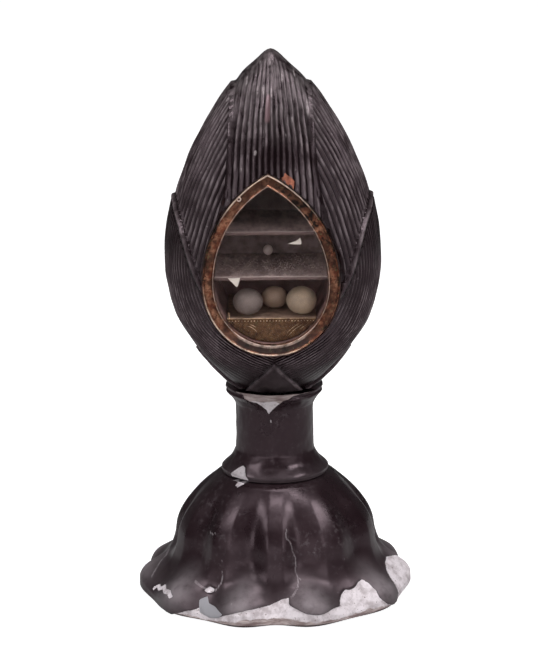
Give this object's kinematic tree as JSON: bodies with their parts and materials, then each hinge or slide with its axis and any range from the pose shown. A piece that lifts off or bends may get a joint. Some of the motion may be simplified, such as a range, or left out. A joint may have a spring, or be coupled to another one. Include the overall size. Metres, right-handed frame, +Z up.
{
  "type": "lotus-shaped reliquary",
  "caption": "Lacquered lotus-bud reliquary on a turned neck and lobed leaf foot, with a glazed drop-shaped window onto shelves of relics.",
  "frame": {"origin": "centre of the flat underside of the foot", "axes": "+Z up along the axis of the bud, -Y out of the window, +X to the viewer's right"},
  "size_m": [0.0652, 0.0647, 0.13],
  "materials": {
    "black_lacquer": "glossy black-brown lacquer over white ground on wood",
    "carved_lacquer": "satin dark lacquer, worn grey on the ridges",
    "gilt_copper": "worn gilding over dark copper",
    "pane": "clear, slightly clouded",
    "niche_lacquer": "dusty dark lacquer",
    "relic_grey": "dull grey mauve",
    "relic_brown": "dull brown",
    "relic_cream": "dull cream"
  },
  "bodies": {
    "root": {"foot": "black_lacquer", "neck": "black_lacquer", "bud": "carved_lacquer", "window_frame": "gilt_copper", "window_glass": "pane", "shelf_upper": "niche_lacquer", "shelf_middle": "niche_lacquer", "relic_ledge": "gilt_copper", "relic_left": "relic_grey", "relic_middle": "relic_brown", "relic_right": "relic_cream", "relic_small": "relic_grey"}
  },
  "joints": []
}
